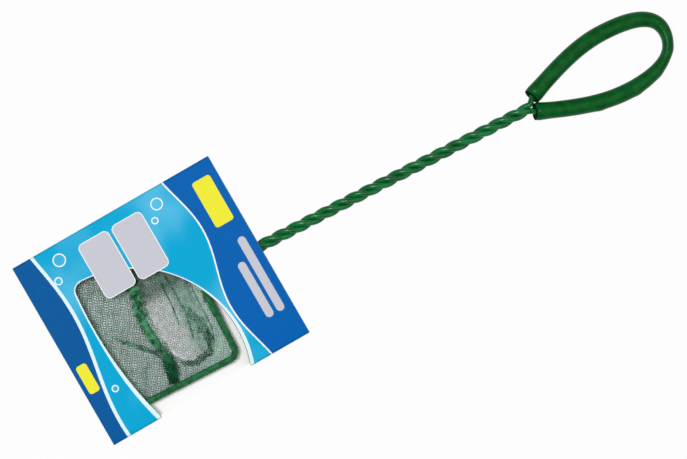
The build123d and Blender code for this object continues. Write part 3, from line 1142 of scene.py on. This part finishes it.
def window_outline():
    """The window's cut on the flat sheet, from its foot at the right edge round to its head there."""
    head = (WINDOW_X, WINDOW_Y)
    foot = (FOOT_X, FOOT_Y)
    corner = meeting_point(head, WINDOW_R - WINDOW_CORNER_R, foot, FOOT_R - WINDOW_CORNER_R)
    on_foot = Vector(foot) + (corner - Vector(foot)).normalized() * FOOT_R
    on_head = Vector(head) + (corner - Vector(head)).normalized() * WINDOW_R
    foot_right = (FOOT_X - math.sqrt(FOOT_R**2 - (FLAT_HALF + FOOT_Y) ** 2), -FLAT_HALF)
    head_right = (WINDOW_X + math.sqrt(WINDOW_R**2 - (FLAT_HALF + WINDOW_Y) ** 2), -FLAT_HALF)

    def on_circle(x):
        return x, WINDOW_Y + math.sqrt(WINDOW_R**2 - (x - WINDOW_X) ** 2)

    points = [(foot_right[0], SHEET_START)]
    points += arc(foot, FOOT_R, foot_right, on_foot, FOOT_ARC_STEPS)
    points += arc(tuple(corner), WINDOW_CORNER_R, on_foot, on_head, CORNER_STEPS)[1:]
    last = tuple(on_head)
    end_stop = (WINDOW_X + math.sqrt(WINDOW_R**2 - (TAB_END_Y - WINDOW_Y) ** 2), TAB_END_Y)
    for middle in TAB_MIDDLES:
        low = middle - TAB_HALF
        high = middle + TAB_HALF
        points += arc(head, WINDOW_R, last, on_circle(low), TAB_GAP_STEPS)[1:]
        round_low = (low + TAB_R, TAB_END_Y + TAB_R)
        side_stop = (low, round_low[1])
        points += arc(round_low, TAB_R, side_stop, (round_low[0], TAB_END_Y), TAB_CORNER_STEPS)
        if high < end_stop[0]:
            round_high = (high - TAB_R, TAB_END_Y + TAB_R)
            side_stop = (high, round_high[1])
            points += arc(round_high, TAB_R, (round_high[0], TAB_END_Y), side_stop, TAB_CORNER_STEPS)
            last = on_circle(high)
            points.append(last)
    points += arc(head, WINDOW_R, end_stop, head_right, HEAD_ARC_STEPS)
    points.append((head_right[0], SHEET_START))
    return points


def spine_point(run):
    """Distance out from the fold line and height, after a run down a folded side."""
    if run < FOLD_ARC:
        turn = run / FOLD_R
        return FOLD_R * math.sin(turn), SLEEVE_HEIGHT - FOLD_R * (1 - math.cos(turn))
    if run < FOLD_ARC + SPINE_WALL:
        return FOLD_R, SLEEVE_HEIGHT - FOLD_R - (run - FOLD_ARC)
    turn = (run - FOLD_ARC - SPINE_WALL) / FOLD_R
    return FOLD_R * math.cos(turn), FOLD_R * (1 - math.sin(turn))


def front_lift(x, y):
    """How far the front bows out over the net and at the open mouth."""
    belly = max(0.0, 1 - (y / FLAT_HALF) ** 2)
    from_foot = min(1.0, (x + HALF_LENGTH) / FRONT_RISE_LENGTH)
    to_mouth = max(0.0, (x - MOUTH_RISE_X) / (HALF_LENGTH - MOUTH_RISE_X))
    place = Vector((x * FRONT_WAVE_SCALE, y * FRONT_WAVE_SCALE, 1.0))
    wave = FRONT_WAVE * from_foot * noise.noise(place)
    return belly * (FRONT_BOW * from_foot + MOUTH_BOW * to_mouth**2 + wave)


def folded(x, s):
    """Where a point of the flat sheet lies once the sheet is folded; s runs round the sleeve."""
    if s > FLAT_HALF + SPINE_LENGTH:
        y = 2 * FLAT_HALF + SPINE_LENGTH - s
        z = 0.0
    elif s > FLAT_HALF:
        out, z = spine_point(s - FLAT_HALF)
        y = FLAT_HALF + out
    elif s >= -FLAT_HALF:
        y = s
        z = SLEEVE_HEIGHT + front_lift(x, y)
    else:
        out, z = spine_point(-FLAT_HALF - s)
        y = -FLAT_HALF - out
    return SLEEVE_CENTRE + along * x + aside * y + Vector((0, 0, z))


def stops_between(start, end, step):
    """Even stops from start to end."""
    count = max(1, round((end - start) / step))
    return [start + (end - start) * i / count for i in range(count + 1)]


def scored_sheet():
    """The die-cut card before folding, scored into small cells that carry the print's places."""
    cut_line = window_outline()
    outline = [(-HALF_LENGTH, SHEET_START)] + cut_line + [
        (HALF_LENGTH, SHEET_START), (HALF_LENGTH, SHEET_END), (-HALF_LENGTH, SHEET_END),
    ]
    sheet = bmesh.new()
    sheet.faces.new([sheet.verts.new((x, s, 0.0)) for x, s in outline])
    cross_stops = stops_between(-HALF_LENGTH, HALF_LENGTH, SHEET_STEP)[1:-1]
    cross_stops += [cut_line[0][0], cut_line[-1][0]]
    round_stops = stops_between(-FLAT_HALF, FLAT_HALF, SHEET_STEP)
    round_stops += stops_between(FLAT_HALF + SPINE_LENGTH, SHEET_END, SHEET_STEP)[:-1]
    for start in (SHEET_START, FLAT_HALF):
        for low in (start, start + FOLD_ARC + SPINE_WALL):
            round_stops += stops_between(low, low + FOLD_ARC, FOLD_ARC / FOLD_STEPS)
    for normal, stops in (((1, 0, 0), cross_stops), ((0, 1, 0), round_stops)):
        for stop in stops:
            everything = sheet.verts[:] + sheet.edges[:] + sheet.faces[:]
            place = Vector(normal) * stop
            bmesh.ops.bisect_plane(
                sheet, geom=everything, dist=CUT_TOLERANCE, plane_co=place, plane_no=normal,
            )
    layer = sheet.loops.layers.uv.new("print")
    for face in sheet.faces:
        for loop in face.loops:
            loop[layer].uv = loop.vert.co.xy
        face.smooth = True
    return sheet


def sleeve_piece():
    """The card folded round the net, with its thickness."""
    sheet = scored_sheet()
    for vertex in sheet.verts:
        vertex.co = folded(vertex.co.x, vertex.co.y) * MM
    bmesh.ops.remove_doubles(sheet, verts=sheet.verts[:], dist=WELD_DISTANCE * MM)
    piece = new_piece("sleeve_card", [], [], "sleeve", [card_print, card_white])
    sheet.to_mesh(piece.data)
    sheet.free()
    thick = piece.modifiers.new("card_thickness", "SOLIDIFY")
    thick.thickness = CARD_T * MM
    thick.offset = -1
    thick.material_offset = 1
    thick.material_offset_rim = 1
    evaluated = piece.evaluated_get(bpy.context.evaluated_depsgraph_get())
    piece.data = bpy.data.meshes.new_from_object(evaluated)
    piece.modifiers.clear()
    piece.data.set_sharp_from_angle(angle=math.radians(CRISP_ANGLE))
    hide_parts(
        "sleeve_back_panel",
        "sleeve_front_panel",
        "sleeve_left_spine",
        "sleeve_right_spine_upper",
        "sleeve_right_spine_lower",
    )


sleeve_piece()
flap = frame["nodes"]["sleeve_bottom_flap"]
flap.data.materials.clear()
flap.data.materials.append(flap_print)

# Cloth facts: the area the pouch's netting was cut to
OVAL_STEPS = 400
oval_step = 2 * POUCH_HALF_LENGTH / OVAL_STEPS
oval_places = [-POUCH_HALF_LENGTH + (i + 0.5) * oval_step for i in range(OVAL_STEPS)]
pouch_area = sum(2 * POUCH_WRAP * pouch_taper(u) * oval_step for u in oval_places) * MM * MM


# Stage, lights and camera
FLOOR_GLOW = 0.97
FLOOR_GREY = 0.45
FLOOR_ROUGH = 0.9
FLOOR_REACH = 3000.0
FLOOR_Z = -0.1
WORLD_LIGHT = 0.25


def floor_material():
    """Pale floor that the camera sees near white, with the object's shadow kept."""
    material, tree, shader = new_material("floor_pale")
    shader.inputs["Base Color"].default_value = (FLOOR_GREY, FLOOR_GREY, FLOOR_GREY, 1.0)
    shader.inputs["Roughness"].default_value = FLOOR_ROUGH
    rays = tree.nodes.new("ShaderNodeLightPath")
    straight = Field(tree, rays.outputs["Is Camera Ray"])
    mirrored = Field(tree, rays.outputs["Is Glossy Ray"])
    passed = Field(tree, rays.outputs["Is Transmission Ray"])
    share = (straight + mirrored + passed).math("MINIMUM", 1.0) * FLOOR_GLOW
    light = tree.nodes.new("ShaderNodeEmission")
    blend = tree.nodes.new("ShaderNodeMixShader")
    tree.links.new(share.value, blend.inputs["Fac"])
    tree.links.new(shader.outputs["BSDF"], blend.inputs[1])
    tree.links.new(light.outputs["Emission"], blend.inputs[2])
    out = tree.nodes["Material Output"]
    tree.links.new(blend.outputs["Shader"], out.inputs["Surface"])
    return material


def stage_floor():
    """A wide floor just under the sleeve."""
    signs = [(-1, -1), (1, -1), (1, 1), (-1, 1)]
    corners = [(FLOOR_REACH * x, FLOOR_REACH * y, FLOOR_Z) for x, y in signs]
    mesh = bpy.data.meshes.new("floor")
    mesh.from_pydata([Vector(c) * MM for c in corners], [], [(0, 1, 2, 3)])
    mesh.materials.append(floor_material())
    add_object("floor", mesh)


VIEW_TURN = math.radians(-27.14)
VIEW_CENTRE = Vector((87.53, -10.41, 0.0))
VIEW_WIDTH = 309.15
LENS = 210.0
SENSOR = 36.0
CLIP_START = 0.01
CLIP_END = 20.0
# Lamps: name, place across and up the picture, height, size and power
LAMPS = [
    ("key", -430.0, 40.0, 1150.0, 380.0, 8.8),
    ("fill", 560.0, 20.0, 1000.0, 1400.0, 5.0),
]
picture_right = Vector((math.cos(VIEW_TURN), math.sin(VIEW_TURN), 0))
picture_up = Vector((-picture_right.y, picture_right.x, 0))


def add_camera():
    """Straight above the net, with the handle up to the right."""
    data = bpy.data.cameras.new("camera")
    data.lens = LENS
    data.sensor_width = SENSOR
    data.clip_start = CLIP_START
    data.clip_end = CLIP_END
    camera = add_object("camera", data)
    distance = VIEW_WIDTH / SENSOR * LENS
    camera.location = (VIEW_CENTRE + Vector((0, 0, distance + AXIS_Z))) * MM
    camera.rotation_euler = (0, 0, VIEW_TURN)
    bpy.context.scene.camera = camera


def add_lamp(name, across, up, height, size, power):
    """A square soft lamp, placed in the picture's directions and aimed at its middle."""
    data = bpy.data.lights.new(name, "AREA")
    data.shape = "SQUARE"
    data.size = size * MM
    data.energy = power
    lamp = add_object(name, data)
    place = VIEW_CENTRE + picture_right * across + picture_up * up + Vector((0, 0, height))
    lamp.location = place * MM
    lamp.rotation_euler = (VIEW_CENTRE - place).to_track_quat("-Z", "Y").to_euler()


def add_world():
    """Even grey light from all round."""
    world = bpy.data.worlds.new("studio")
    world.use_nodes = True
    background = world.node_tree.nodes["Background"]
    background.inputs["Color"].default_value = (1.0, 1.0, 1.0, 1.0)
    background.inputs["Strength"].default_value = WORLD_LIGHT
    bpy.context.scene.world = world


stage_floor()
add_camera()
for lamp in LAMPS:
    add_lamp(*lamp)
add_world()
bpy.context.scene.view_settings.view_transform = "Standard"
